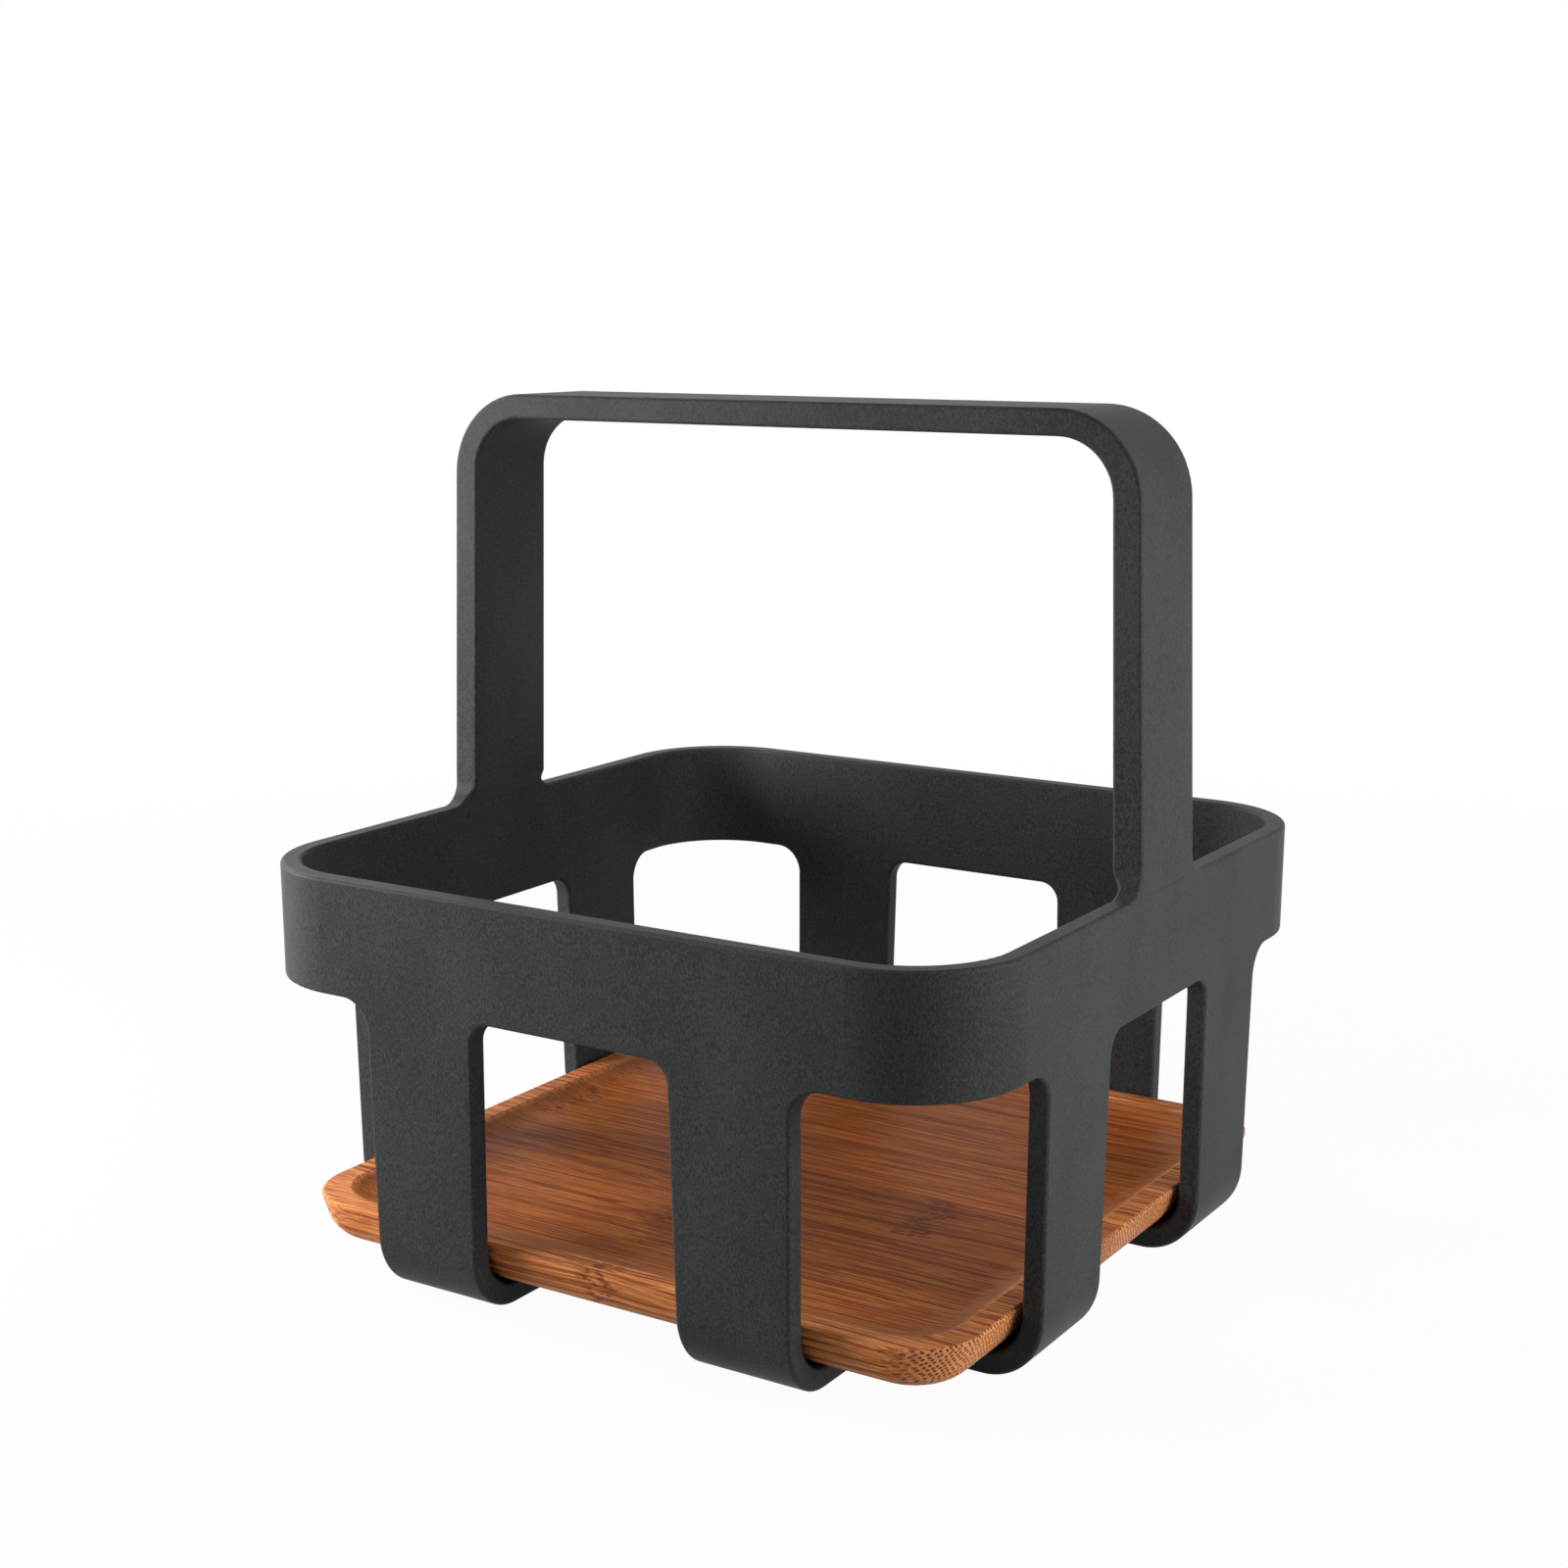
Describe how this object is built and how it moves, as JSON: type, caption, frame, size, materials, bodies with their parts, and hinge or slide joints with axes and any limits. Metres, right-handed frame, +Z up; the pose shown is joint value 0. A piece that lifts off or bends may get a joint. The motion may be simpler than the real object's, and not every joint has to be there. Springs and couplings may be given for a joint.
{
  "type": "condiment caddy",
  "caption": "Square open caddy for bottles: a moulded band with an arched strap handle stands on flat turned-in legs that hold a dished bamboo tray, which lifts out upwards.",
  "frame": {"origin": "on the table, under the middle of the caddy: the bottom centre of its box", "axes": "+Z up; X is the direction in which the handle spans; -Y is the front, a side without a handle upright, with +X to the right"},
  "size_m": [0.1724, 0.17, 0.178],
  "materials": {
    "moulded_nylon": "matte charcoal with a very fine grain",
    "bamboo": "satin oiled bamboo, grain along X"
  },
  "bodies": {
    "frame": {"rim_band": "moulded_nylon", "carry_handle": "moulded_nylon", "front_leg_left": "moulded_nylon", "front_leg_right": "moulded_nylon", "back_leg_left": "moulded_nylon", "back_leg_right": "moulded_nylon", "left_leg_front": "moulded_nylon", "left_leg_back": "moulded_nylon", "right_leg_front": "moulded_nylon", "right_leg_back": "moulded_nylon"},
    "tray": {"bamboo_strip_1": "bamboo", "bamboo_strip_2": "bamboo", "bamboo_strip_3": "bamboo", "bamboo_strip_4": "bamboo", "bamboo_strip_5": "bamboo", "bamboo_strip_6": "bamboo", "bamboo_strip_7": "bamboo", "bamboo_strip_8": "bamboo"}
  },
  "joints": [
    {"name": "tray_lift", "type": "slide", "parent": "frame", "child": "tray", "axis": [0, 0, 1], "range_m": [0, 0.15]}
  ]
}
